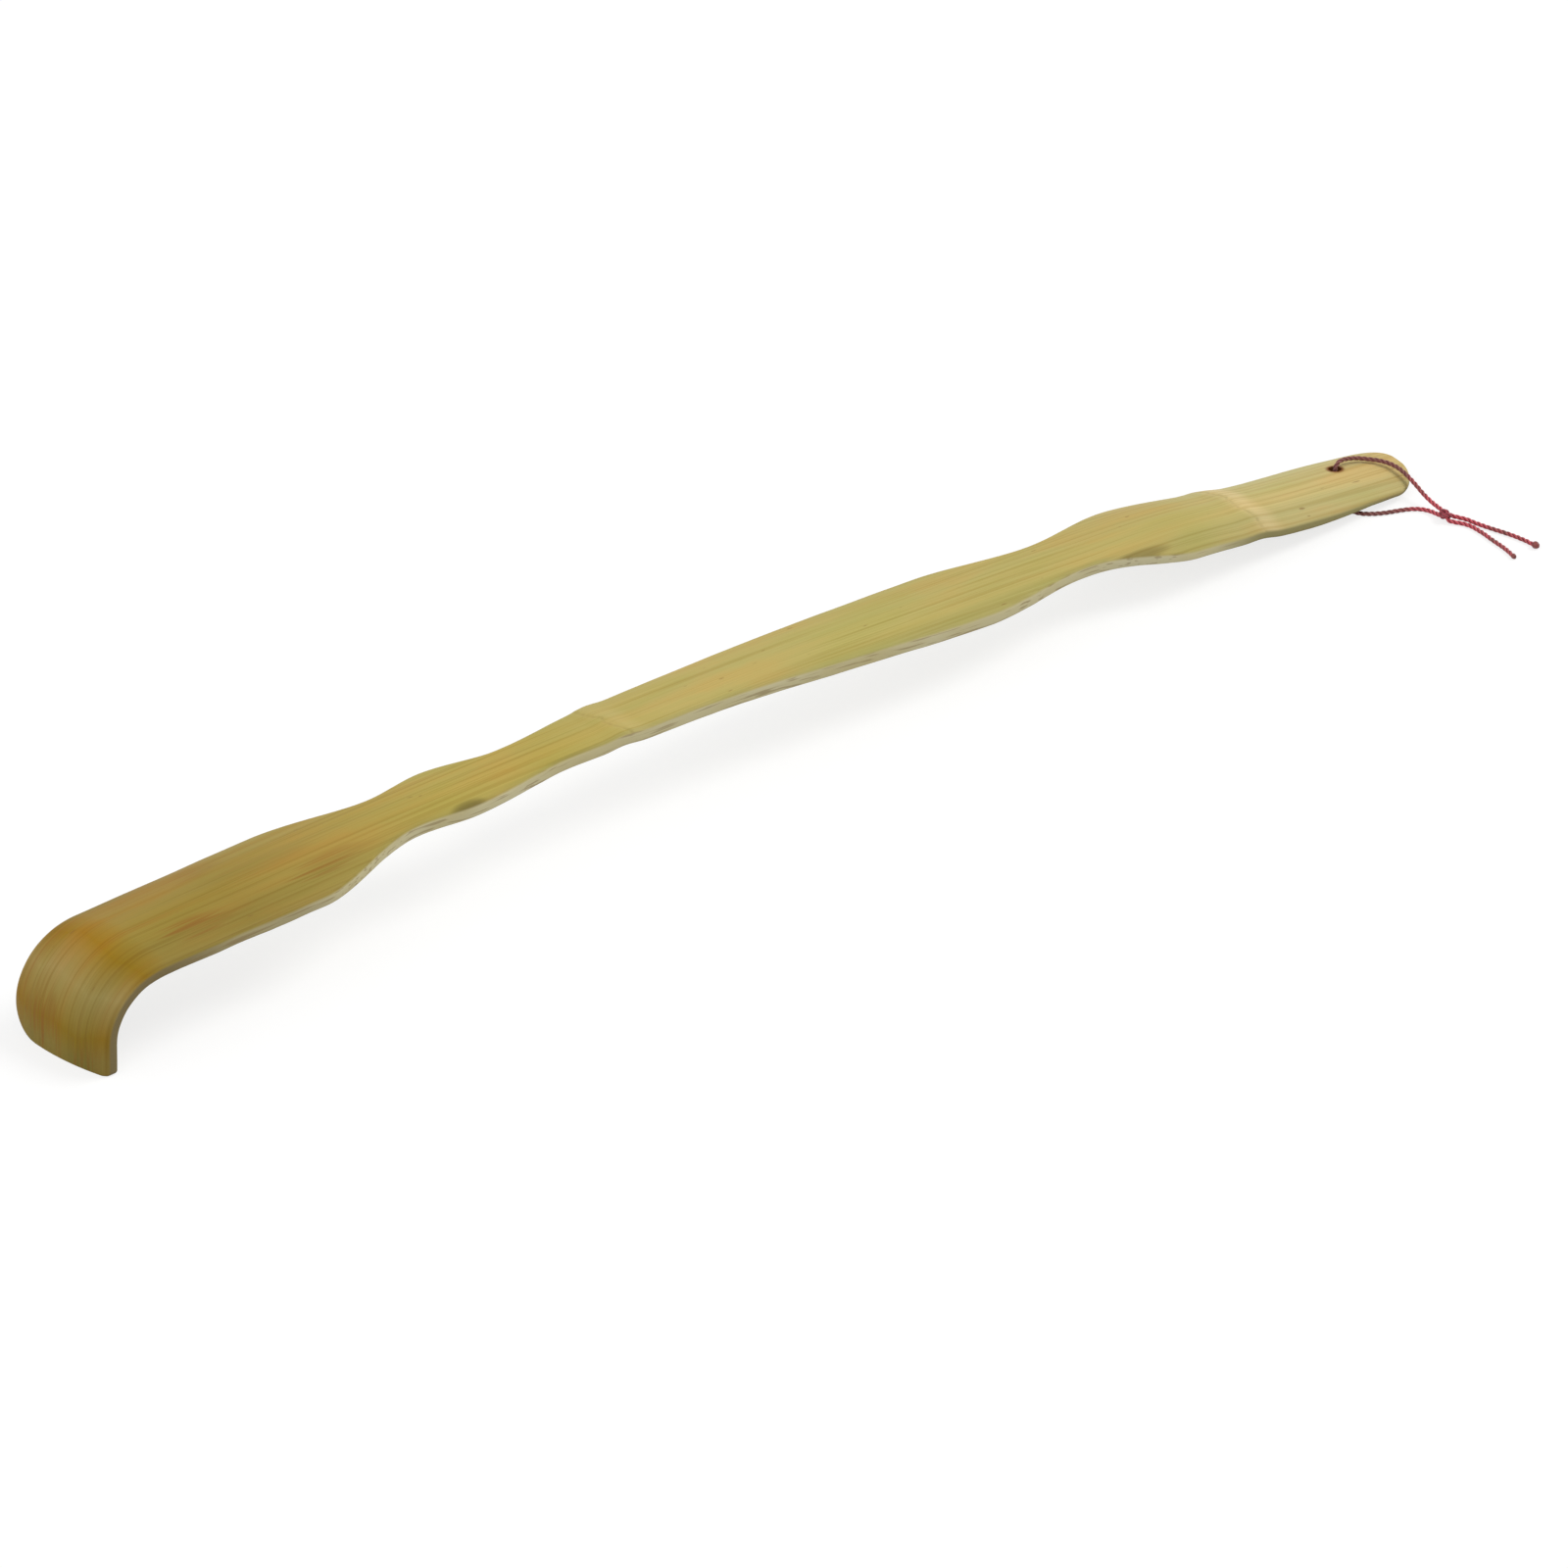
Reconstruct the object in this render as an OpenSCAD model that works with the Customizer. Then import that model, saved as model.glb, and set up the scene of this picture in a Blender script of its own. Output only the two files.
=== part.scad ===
// Long bamboo shoehorn with a hooked end and a hang cord.
// The strip lies along X with its outer skin up. The hook is at -X and the tongue at +X.
// The table is z = 0: the hook's lip and the tongue's far edge rest on it.

/* [Strip] */
// Length from the hook's face to the tongue's end
overall_l = 504; // [460:1:610]
// Height of the skin above the table at the hook end
hook_h = 34.7; // [30:0.1:44]
// Radius of the skin round the hook's bend
bend_r = 25; // [22:0.5:28]
// Angle by which the hook's face is out of square
hook_skew = 7.5; // [0:0.5:12]
// Wall at the hook
hook_wall = 3.7; // [3:0.1:4.5]
// Wall along the middle of the strip
mid_wall = 4.5; // [3.5:0.1:5.5]
// Wall at the tongue
tongue_wall = 2.9; // [2:0.1:3.2]
// Wall at the tongue's very end
end_wall = 1.7; // [1.4:0.1:2.2]
// Rounding of the long edges
edge_r = 0.9; // [0.4:0.1:1.2]

/* [Outline widths] */
// Width of the hook's blade
blade_w = 38.4; // [30:0.1:48]
// Width where the blade runs into the handle
root_w = 20.4; // [16:0.1:26]
// Width of the knuckle
knuckle_w = 24.8; // [20:0.1:30]
// Width of the waist
waist_w = 16.3; // [13:0.1:20]
// Width at the handle's own node ring
ring_w = 20.6; // [17:0.1:25]
// Width of the handle's belly
belly_w = 29; // [22:0.1:34]
// Width of the neck
neck_w = 18.8; // [15:0.1:24]
// Width of the tongue
tongue_w = 34.8; // [28:0.1:38]
// Width of the tongue just before its rounded end
tip_w = 23.6; // [21:0.1:29]

/* [Outline lengths] */
// From the hook's face to the end of the blade
blade_l = 87; // [75:1:100]
// From the blade's end to the root
shoulder_l = 40; // [32:1:48]
// From the root to the knuckle
knuckle_l = 23; // [18:1:28]
// From the knuckle to the waist
waist_l = 29; // [24:1:35]
// From the waist to the handle's node ring
ring_l = 28; // [22:1:34]
// From the tongue's end back to the belly
belly_back = 164; // [150:1:190]
// From the tongue's end back to the neck
neck_back = 125; // [112:1:137]
// From the tongue's end back to its full width
tongue_back = 85; // [72:1:97]
// From the tongue's end back to where it narrows
taper_back = 44; // [36:1:55]

/* [Arch] */
// Height of the skin at the knuckle
knuckle_h = 34.3; // [28:0.1:42]
// Height of the skin half way along
middle_h = 31.2; // [25:0.1:40]
// Height of the skin at the belly
belly_h = 24.8; // [20:0.1:32]
// Height of the skin at the neck
neck_h = 21.7; // [17:0.1:28]
// Height of the skin where the tongue reaches its full width
tongue_h = 18.2; // [14:0.1:24]
// Height of the skin where the tongue narrows
taper_h = 11.1; // [11.1:0.1:14]
// Height of the skin at the tongue's end
end_h = 5; // [5:0.1:8]

/* [Culm section] */
// Radius of the skin across the lip, pressed nearly flat
lip_r = 75; // [60:1:200]
// Radius of the skin across the handle
handle_r = 45; // [36:1:70]
// Radius of the skin across the tongue
tongue_r = 30; // [26:1:50]
// Twist of the tongue, near edge up
tongue_twist = 6.5; // [5:0.1:7.5]
// Height of a node ring above the skin
ridge_h = 0.6; // [0:0.1:1]
// Length of a node ring along the strip
ridge_l = 16; // [10:1:24]

/* [Corners] */
// Rounding of the tongue's end corners
tongue_corner = 9; // [6:0.5:11]
// Rounding of the lip's near corner
lip_near_corner = 1.5; // [1:0.5:6]
// Rounding of the lip's far corner
lip_far_corner = 9.5; // [1:0.5:12]

/* [Hang hole and cord] */
// Diameter of the hang hole
hole_d = 4; // [3:0.1:5]
// From the tongue's end back to the hang hole
hole_back = 20; // [18:0.5:24]
// Offset of the hang hole towards the far edge
hole_side = 1; // [0:0.5:3]
// Diameter of the cord
cord_d = 1.4; // [1:0.1:1.6]
// Diameter of the knot
knot_d = 4; // [3.4:0.1:4.6]
// Diameter of the melted bead on the long tail
bead_d = 2.2; // [2:0.1:2.8]

/* [Hidden] */

// Stations along the strip
hook_x = -overall_l / 2;
end_x = overall_l / 2;
blade_x = hook_x + blade_l;
root_x = blade_x + shoulder_l;
knuckle_x = root_x + knuckle_l;
waist_x = knuckle_x + waist_l;
ring_x = waist_x + ring_l;
belly_x = end_x - belly_back;
neck_x = end_x - neck_back;
tongue_x = end_x - tongue_back;
taper_x = end_x - taper_back;
hole_x = end_x - hole_back;
tongue_ring_x = tongue_x + 24;

// The skewed face reaches out past its own middle by this much
skew_reach = lip_r * (1 / cos(hook_skew) - 1);
face_x = hook_x + skew_reach;
bend_x = face_x + bend_r;
// The lip starts below the table and is cut off level with it
lip_extra = 3;
lip_l = hook_h - bend_r;

// The two long edges aren't mirror images: [near edge moved along X, far edge moved along X,
// width moved from the near side to the far side]
root_lean = [2, -2, 0];
knuckle_lean = [1, -4, 0.8];
waist_lean = [8, -7, -0.5];
ring_lean = [10, 0, 0.9];
belly_lean = [2, -6, 0.4];
neck_lean = [3, -7, -0.1];
tongue_lean = [0, -4, 0.5];
taper_lean = [0, 0, 0.8];
end_lean = [0, 0, -3.8];
square = [0, 0, 0];
// A station of one long edge, [x, half width]: side 0 is the near edge and 1 the far edge
function station(x, w, lean, side) = [x + lean[side], w / 2 + (2 * side - 1) * lean[2]];
function edge(side) = [
    station(bend_x, blade_w, square, side), station(blade_x, blade_w, square, side),
    station(root_x, root_w, root_lean, side), station(knuckle_x, knuckle_w, knuckle_lean, side),
    station(waist_x, waist_w, waist_lean, side), station(ring_x, ring_w, ring_lean, side),
    station(belly_x, belly_w, belly_lean, side), station(neck_x, neck_w, neck_lean, side),
    station(tongue_x, tongue_w, tongue_lean, side), station(taper_x, tongue_w, taper_lean, side),
    station(end_x, tip_w, end_lean, side)
];
near_edge = edge(0);
far_edge = edge(1);

// Skin heights along the middle line [x, z]
arch = [
    [bend_x, hook_h], [knuckle_x, knuckle_h], [0, middle_h], [belly_x, belly_h],
    [neck_x, neck_h], [tongue_x, tongue_h], [taper_x, taper_h], [end_x, end_h]
];
walls = [
    [bend_x, hook_wall], [knuckle_x, mid_wall], [belly_x, mid_wall],
    [taper_x, tongue_wall], [end_x, end_wall]
];
radii = [[neck_x, handle_r], [taper_x, tongue_r]];
twists = [[neck_x, 0], [taper_x, tongue_twist]];
skews = [[bend_x, tan(hook_skew)], [blade_x, 0]];

// The cord's routes, measured from the hang hole along X and Y and from the table along Z.
// Both legs start at one another's end inside the hole, one upwards and one downwards.
upper_leg = [
    [0, 0, 6.1], [0, 0, 7.2], [0.5, 0.1, 8.3], [1.7, 0.4, 9], [3.6, 0.7, 8.9], [5.9, 0.7, 8.4],
    [8.3, 0.1, 7.9], [10.7, -1.5, 7.5], [12.8, -3.8, 7.4], [14.4, -6.4, 7.3], [15.4, -9.2, 7.1],
    [15.9, -12.2, 6.6], [16.1, -15.4, 5.7], [16.1, -18.8, 4.6], [16, -22.2, 3.5],
    [16, -25.6, 2.7], [16, -28.8, 2.4], [15.9, -31.8, 2.3]
];
lower_leg = [
    [0, 0, 6.1], [0, 0, 4.9], [-0.3, -0.3, 3.8], [-1.2, -1.2, 2.7], [-2.4, -2.8, 1.8],
    [-3.5, -5, 1.2], [-4.2, -7.6, 0.8], [-4.3, -10.4, 0.7], [-3.8, -13.2, 0.7],
    [-2.2, -15.9, 0.7], [0.6, -18.2, 0.7], [3.9, -20, 0.7], [7.4, -21.4, 0.7],
    [10.7, -23, 0.7], [13.2, -25.2, 0.7], [14.3, -28.2, 1], [14.6, -31.8, 1.5]
];
long_tail = [
    [16.7, -34.5, 1.8], [18.3, -36, 1.3], [19.9, -37.9, 0.9], [20.8, -40.3, 0.7],
    [21.7, -43.1, 0.7], [22.8, -46.1, 0.7], [24, -49.1, 0.7], [25.1, -52.1, 0.7],
    [26, -55.1, 0.7], [26.7, -58.1, 0.7], [27, -61, 0.8]
];
short_tail = [
    [15.2, -35.1, 1.1], [16.5, -37, 0.8], [17.9, -38.9, 0.7], [18.8, -41.3, 0.7], [19.1, -44.2, 0.7],
    [19.2, -47.2, 0.7], [19.1, -50.2, 0.7], [19.1, -53.2, 0.7], [19.1, -56.2, 0.7],
    [18.9, -58.9, 0.7], [18.5, -61.4, 0.7]
];
knot_at = [15.5, -33.4];
bead_at = [27.1, -62.3];
cord_sides = 8;

// Smooth step from 0 to 1
function ease(t) = let (c = max(0, min(1, t))) c * c * (3 - 2 * c);
// Index of the stretch of a table that holds x
function stretch(table, x, i = 0) =
    i >= len(table) - 2 || x <= table[i + 1][0] ? i : stretch(table, x, i + 1);
// Value of a table of [x, value] at x, eased from one station to the next
function eased(table, x) =
    let (i = stretch(table, x), a = table[i], b = table[i + 1])
    a[1] + (b[1] - a[1]) * ease((x - a[0]) / (b[0] - a[0]));
// Slope of the arch at its station i
function arch_slope(i) =
    i == 0 ? 0
    : i == len(arch) - 1 ? (arch[i][1] - arch[i - 1][1]) / (arch[i][0] - arch[i - 1][0])
    : (arch[i + 1][1] - arch[i - 1][1]) / (arch[i + 1][0] - arch[i - 1][0]);
// Height of the arch at x, a cubic between stations
function arch_z(x) =
    let (i = stretch(arch, x), a = arch[i], b = arch[i + 1], d = b[0] - a[0], t = (x - a[0]) / d)
    a[1] * (1 + 2 * t) * (1 - t) * (1 - t) + b[1] * t * t * (3 - 2 * t)
    + d * arch_slope(i) * t * (1 - t) * (1 - t) + d * arch_slope(i + 1) * t * t * (t - 1);
// Swelling of the skin at a node ring
function ridge(x, at) = ridge_h * (1 - ease(abs(x - at) / (ridge_l / 2)));
function ridges(x) = ridge(x, ring_x) + ridge(x, tongue_ring_x);
// How far a rounded corner cuts in, a distance past its start
function corner_cut(past, r) = let (c = max(0, min(r, past))) r - sqrt(r * r - c * c);

// Stations of the path: [x, z, tangent angle, near, far, wall, skin radius, twist, skew]
lip_path = [for (z = [-lip_extra, 0, 1, 2.5, 4.5, 7, lip_l])
    [face_x, z, 90,
     blade_w / 2 - corner_cut(lip_near_corner - z, lip_near_corner),
     blade_w / 2 - corner_cut(lip_far_corner - z, lip_far_corner),
     hook_wall, lip_r, 0, tan(hook_skew)]];
bend_steps = 10;
bend_radii = [[0, lip_r], [bend_steps, handle_r]];
bend_path = [for (i = [1:bend_steps]) let (a = 90 - 90 * i / bend_steps)
    [bend_x - bend_r * sin(a), hook_h - bend_r + bend_r * cos(a), a,
     blade_w / 2, blade_w / 2, hook_wall, eased(bend_radii, i), 0, tan(hook_skew)]];
corner_x = end_x - tongue_corner;
top_steps = 92;
corner_steps = 8;
top_xs = concat(
    [for (i = [1:top_steps]) bend_x + (corner_x - bend_x) * i / top_steps],
    [for (i = [1:corner_steps]) corner_x + tongue_corner * sin(86 * i / corner_steps)]);
top_path = [for (x = top_xs)
    [x, arch_z(x) + ridges(x), atan(arch_z(x + 0.5) - arch_z(x - 0.5)),
     eased(near_edge, x) - corner_cut(x - corner_x, tongue_corner),
     eased(far_edge, x) - corner_cut(x - corner_x, tongue_corner),
     eased(walls, x), eased(radii, x), eased(twists, x), eased(skews, x)]];
path = concat(lip_path, bend_path, top_path);

// Cross-section [y, depth below the skin's crown], from the near edge round to the underside
skin_steps = 10;
function drop(y, r) = r - sqrt(r * r - y * y);
function side_points(w, r, wall) = let (e = min(edge_r, wall / 2), d = drop(w, r))
    [[w - e, drop(w - e, r)], [w - 0.3 * e, d + 0.25 * e], [w, d + e],
     [w, d + wall - e], [w - 0.3 * e, d + wall - 0.25 * e], [w - e, drop(w - e, r) + wall]];
function section(near, far, wall, r) =
    let (e = min(edge_r, wall / 2), a = -near + e, b = far - e,
         n = side_points(near, r, wall), f = side_points(far, r, wall))
    concat(
        [for (i = [5:-1:0]) [-n[i][0], n[i][1]]],
        [for (i = [1:skin_steps - 1]) let (y = a + (b - a) * i / skin_steps) [y, drop(y, r)]],
        f,
        [for (i = [skin_steps - 1:-1:1]) let (y = a + (b - a) * i / skin_steps)
            [y, drop(y, r) + wall]]);
// One ring of the strip in space
function ring_points(s) = [for (p = section(s[3], s[4], s[5], s[6]))
    let (y = p[0] * cos(s[7]) - p[1] * sin(s[7]), h = -p[0] * sin(s[7]) - p[1] * cos(s[7]))
    [s[0] - h * sin(s[2]) - s[8] * y, y, s[1] + h * cos(s[2])]];

// Walls between the rings of a swept solid, as triangles
function wall_faces(rings, n) = [for (i = [0:rings - 2]) for (j = [0:n - 1])
    let (a = i * n + j, b = i * n + (j + 1) % n) each [[a, b, b + n], [a, b + n, a + n]]];
// A flat cap over one arched section: its two rounded sides, then skin to underside
function arched_cap(n) = concat(
    [for (j = [1:4]) [0, j + 1, j]],
    [for (j = [1:4]) [n / 2, n / 2 + j + 1, n / 2 + j]],
    [for (a = [5:n / 2 - 1]) let (c = (n + 5 - a) % n, d = n + 4 - a)
        each [[a, d, a + 1], [a, c, d]]]);
function flipped(faces, by) = [for (f = faces) [f[2] + by, f[1] + by, f[0] + by]];
function round_cap(n) = [for (j = [1:n - 2]) [0, j + 1, j]];

// The bamboo strip: one bent piece, with the hang hole bored through it
module bamboo_strip() {
    n = 2 * skin_steps + 10;
    rings = len(path);
    points = [for (s = path) each ring_points(s)];
    faces = concat(arched_cap(n), wall_faces(rings, n), flipped(arched_cap(n), (rings - 1) * n));
    color("#bfae63")
        difference() {
            polyhedron(points, faces, convexity = 8);
            translate([hole_x, hole_side, 0])
                cylinder(h = hook_h, d = hole_d, $fn = 48);
            translate([hook_x - 10, -blade_w, -2 * lip_extra])
                cube([bend_r + 20, 2 * blade_w, 2 * lip_extra]);
        }
}

// Direction of a route at its point i
function along(route, i) =
    let (v = route[min(i + 1, len(route) - 1)] - route[max(i - 1, 0)]) v / norm(v);
// A direction square to the route at point i, carried along without twisting
function across(route, i) =
    let (t = along(route, i), v = i == 0 ? [1, 0, 0] : across(route, i - 1), w = v - (v * t) * t)
    w / norm(w);

// A length of cord swept along a route
module cord(route) {
    points = [for (i = [0:len(route) - 1])
        let (t = along(route, i), u = across(route, i), v = cross(t, u))
        for (j = [0:cord_sides - 1]) let (a = -360 * j / cord_sides)
        route[i] + cord_d / 2 * (cos(a) * u + sin(a) * v)];
    rings = len(route);
    cap = round_cap(cord_sides);
    faces = concat(cap, wall_faces(rings, cord_sides), flipped(cap, (rings - 1) * cord_sides));
    color("#b3272d")
        translate([hole_x, hole_side, 0])
            polyhedron(points, faces);
}

// A ball on the cord that lies on the table
module ball(at, d) {
    color("#a01c26")
        translate([hole_x + at[0], hole_side + at[1], d / 2])
            sphere(d = d, $fn = 48);
}

module cord_upper_leg() { cord(upper_leg); }
module cord_lower_leg() { cord(lower_leg); }
module cord_knot() { ball(knot_at, knot_d); }
module cord_long_tail() { cord(long_tail); }
module cord_short_tail() { cord(short_tail); }
module cord_bead() { ball(bead_at, bead_d); }

bamboo_strip();
cord_upper_leg();
cord_lower_leg();
cord_knot();
cord_long_tail();
cord_short_tail();
cord_bead();
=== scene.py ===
"""Long bamboo shoehorn with a hooked end and a red hang cord.

Laid out as an add-on and run as a script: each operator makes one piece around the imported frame.
Lengths are in metres. X runs from the hook to the tongue, Z up from the table, Y to the far edge.
"""

import math
from collections import namedtuple

import bmesh
import bpy
from bpy.props import FloatProperty, FloatVectorProperty, IntProperty, PointerProperty
from mathutils import Matrix, Vector, noise


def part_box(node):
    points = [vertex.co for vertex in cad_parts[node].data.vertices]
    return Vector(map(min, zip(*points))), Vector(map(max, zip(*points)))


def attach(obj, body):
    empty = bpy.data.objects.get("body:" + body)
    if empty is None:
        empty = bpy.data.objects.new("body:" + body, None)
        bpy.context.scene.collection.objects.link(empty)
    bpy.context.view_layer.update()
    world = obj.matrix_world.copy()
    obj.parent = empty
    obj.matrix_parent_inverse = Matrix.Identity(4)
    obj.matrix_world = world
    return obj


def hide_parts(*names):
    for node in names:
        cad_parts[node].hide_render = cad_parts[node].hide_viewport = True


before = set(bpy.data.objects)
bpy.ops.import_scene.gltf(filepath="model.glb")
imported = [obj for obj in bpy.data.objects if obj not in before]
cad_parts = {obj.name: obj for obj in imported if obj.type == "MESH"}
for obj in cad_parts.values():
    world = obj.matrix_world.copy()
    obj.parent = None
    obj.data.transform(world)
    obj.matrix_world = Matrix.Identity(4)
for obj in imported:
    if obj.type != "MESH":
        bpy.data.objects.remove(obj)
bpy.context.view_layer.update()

bl_info = {
    "name": "Long Bamboo Shoehorn",
    "version": (1, 0, 0),
    "blender": (4, 5, 0),
    "location": "View3D > Sidebar > Shoehorn",
    "description": "Makes a hooked bamboo shoehorn with its hang cord",
    "category": "Add Mesh",
}

STRIP_LOW, STRIP_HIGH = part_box("bamboo_strip")
HOOK_X = STRIP_LOW.x
END_X = STRIP_HIGH.x


# Sizes and colours


def length_prop(name, description, default):
    """A length that a user can change."""
    return FloatProperty(name=name, description=description, default=default, unit="LENGTH")


def angle_prop(name, description, degrees):
    """An angle that a user can change."""
    return FloatProperty(
        name=name, description=description, default=math.radians(degrees), subtype="ANGLE")


def colour_prop(name, description, default):
    """A colour that a user can change."""
    return FloatVectorProperty(
        name=name, description=description, default=default, subtype="COLOR", min=0, max=1)


class StripSettings(bpy.types.PropertyGroup):
    """Sizes and colours of the bamboo strip"""

    hook_height: length_prop("Hook height", "Height of the skin above the table at the hook", 0.0347)
    bend_radius: length_prop("Bend radius", "Radius of the skin round the hook's bend", 0.025)
    hook_skew: angle_prop("Hook skew", "Angle by which the hook's face is out of square", 7.5)
    hook_wall: length_prop("Hook wall", "Thickness of the wall at the hook", 0.0037)
    middle_wall: length_prop("Middle wall", "Thickness of the wall along the handle", 0.0045)
    tongue_wall: length_prop("Tongue wall", "Thickness of the wall at the tongue", 0.0029)
    end_wall: length_prop("End wall", "Thickness of the wall at the tongue's very end", 0.0017)
    edge_round: length_prop("Edge rounding", "Radius of the rounded long edges", 0.0009)
    lip_radius: length_prop("Lip radius", "Radius of the skin across the lip", 0.075)
    handle_radius: length_prop("Handle radius", "Radius of the skin across the handle", 0.045)
    tongue_radius: length_prop("Tongue radius", "Radius of the skin across the tongue", 0.030)
    tongue_twist: angle_prop("Tongue twist", "Twist of the tongue, near edge up", 6.5)
    near_corner: length_prop("Near lip corner", "Rounding of the lip's near corner", 0.0015)
    far_corner: length_prop("Far lip corner", "Rounding of the lip's far corner", 0.0095)
    tongue_corner: length_prop("Tongue corner", "Rounding of the tongue's end corners", 0.009)
    ring_height: length_prop("Node ring height", "Height of a node ring above the skin", 0.0006)
    ring_length: length_prop("Node ring length", "Length of a node ring along the strip", 0.016)
    hole_diameter: length_prop("Hang hole", "Diameter of the hang hole", 0.004)
    fibre_relief: length_prop(
        "Fibre relief", "Depth of the lengthwise fibres in the scraped faces", 0.00006)
    edge_waver: length_prop("Edge waver", "How far the hand-cut edges waver", 0.00018)
    lip_olive: colour_prop("Lip olive", "Colour of the skin at the very lip", (0.310, 0.222, 0.048))
    scorched: colour_prop(
        "Scorched", "Colour of the skin down the front of the hook",
        (0.330, 0.195, 0.014))
    # Painted highlight: the skin's tan made paler at the bend, for the satin sheen there
    bend_sheen_tan: colour_prop(
        "Bend tan", "Colour of the skin where it was stretched round the bend",
        (0.455, 0.325, 0.105))
    amber: colour_prop("Amber", "Colour of the line where the heating stopped", (0.360, 0.200, 0.012))
    toasted: colour_prop(
        "Toasted", "Colour of the skin along the blade, browned by heat",
        (0.345, 0.240, 0.044))
    straw: colour_prop("Straw", "Colour of the skin at the knuckle", (0.485, 0.378, 0.092))
    pale_straw: colour_prop(
        "Pale straw", "Colour of the skin about the node ring of the handle",
        (0.530, 0.415, 0.132))
    handle: colour_prop("Handle", "Colour of the skin along the handle", (0.510, 0.425, 0.136))
    # Partly painted highlight: the pale pink band past each node ring is partly the ring's own colour,
    # partly a soft highlight
    ring_highlight_pink: colour_prop(
        "Ring pink", "Colour of the pale bands at the node rings",
        (0.760, 0.590, 0.290))
    tongue_tan: colour_prop(
        "Tongue tan", "Colour of the skin past the tongue's node ring",
        (0.595, 0.495, 0.205))
    streak: colour_prop("Streak", "Colour of the reddish scorch streaks", (0.290, 0.110, 0.014))
    flesh: colour_prop(
        "Flesh", "Colour of the cut sides and the scraped underside",
        (0.650, 0.595, 0.370))
    # Partly painted shade: the dark cut sides round the hook are partly heat browning, partly painted
    # shade
    browned_and_shaded_flesh: colour_prop(
        "Browned flesh", "Colour of the cut sides round the hook",
        (0.200, 0.150, 0.065))
    # Painted shade: the darker cut sides along the tongue stand for the shade on those
    # downward-leaning faces
    shaded_tongue_flesh: colour_prop(
        "Handled flesh", "Colour of the cut sides along the tongue, dark from hands",
        (0.300, 0.265, 0.115))


class CordSettings(bpy.types.PropertyGroup):
    """Sizes and colours of the hang cord"""

    diameter: length_prop("Diameter", "Diameter of the cord", 0.0014)
    plies: IntProperty(
        name="Plies", description="Number of twisted plies", default=3, min=2, max=6)
    lay_length: length_prop("Lay length", "Length of one full turn of the plies", 0.0052)
    red: colour_prop("Red", "Colour of the plies where they stand proud", (0.620, 0.055, 0.082))
    # Painted shade: the darker red painted into the grooves between the plies
    groove_shade_red: colour_prop("Dark red", "Colour of the plies in their grooves", (0.170, 0.014, 0.024))
    worn: colour_prop("Worn", "Colour of the plies where the dye has worn off", (0.170, 0.058, 0.038))
    # Painted shade: the whole knot is painted a darker red than the legs, for the shade of its tight
    # turns
    knot_shade_red: colour_prop(
        "Knot red", "Colour of the cord inside the knot, where the dye is fresh",
        (0.330, 0.014, 0.036))
    melted: colour_prop("Melted", "Colour of the melted ends", (0.300, 0.055, 0.045))
    bead_diameter: length_prop("Bead diameter", "Diameter of the melted bead on the long tail", 0.0022)


class StageSettings(bpy.types.PropertyGroup):
    """Camera, lamps and floor"""

    yaw: angle_prop("Camera yaw", "Heading of the view, from +Y towards +X", 38.48)
    elevation: angle_prop("Camera elevation", "Height of the camera above the horizon", 33.67)
    lens: FloatProperty(
        name="Lens", description="Focal length in millimetres, long for a nearly flat view",
        default=1400, min=50, max=2000)
    view_width: length_prop("View width", "Width of the picture at the object", 0.4638)
    key: FloatProperty(
        name="Key light", description="Strength of the key sun", default=1.4, min=0)
    fill: FloatProperty(
        name="Fill light", description="Strength of the fill sun", default=0.6, min=0)
    sky: FloatProperty(
        name="Sky light", description="Strength of the even light from all round",
        default=0.52, min=0)


# Node trees


def feed(tree, node, inputs):
    """Joins each socket given as an input and sets each value."""
    for name, value in dict(inputs).items():
        if isinstance(value, bpy.types.NodeSocket):
            tree.links.new(value, node.inputs[name])
        else:
            node.inputs[name].default_value = value


def put(tree, kind, inputs=(), **settings):
    """A new node of that kind, with its settings and its inputs."""
    made = tree.nodes.new(kind)
    for name, value in settings.items():
        setattr(made, name, value)
    feed(tree, made, inputs)
    return made


def calc(tree, operation, *values):
    """The result of a sum on numbers or sockets."""
    made = put(tree, "ShaderNodeMath", enumerate(values), operation=operation)
    return made.outputs[0]


def vector_calc(tree, operation, *values):
    """The result of a sum on vectors or vector sockets."""
    made = put(tree, "ShaderNodeVectorMath", enumerate(values), operation=operation)
    return made.outputs[0]


def scaled(tree, vector, length):
    """A vector socket times a number socket."""
    made = put(tree, "ShaderNodeVectorMath", {0: vector, "Scale": length}, operation="SCALE")
    return made.outputs[0]


def parts(tree, vector):
    """The three numbers of a vector socket."""
    return put(tree, "ShaderNodeSeparateXYZ", {0: vector}).outputs


def swayed(tree, value, noise_value, reach):
    """A value moved either way by a noise, over a reach in all."""
    off = calc(tree, "MULTIPLY", calc(tree, "SUBTRACT", noise_value, 0.5), reach)
    return calc(tree, "ADD", value, off)


def span(tree, value, low, high, to_low=0.0, to_high=1.0):
    """A value carried smoothly from one span to another, and held at its ends."""
    made = put(tree, "ShaderNodeMapRange", {0: value, 1: low, 2: high, 3: to_low, 4: to_high},
               interpolation_type="SMOOTHSTEP")
    return made.outputs[0]


def mix(tree, share, first, second, blend="MIX"):
    """Two colours mixed by a share, 0 for the first and 1 for the second."""
    made = put(tree, "ShaderNodeMix", {0: share, 6: first, 7: second},
               data_type="RGBA", blend_type=blend, clamp_factor=True)
    return made.outputs[2]


def mix_value(tree, share, first, second):
    """Two numbers mixed by a share."""
    made = put(tree, "ShaderNodeMix", {0: share, 2: first, 3: second}, data_type="FLOAT")
    return made.outputs[0]


def tinted(tree, share, colour, tint):
    """A colour multiplied by a tint, as far as the share says."""
    return mix(tree, share, colour, opaque(tint), "MULTIPLY")


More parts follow.
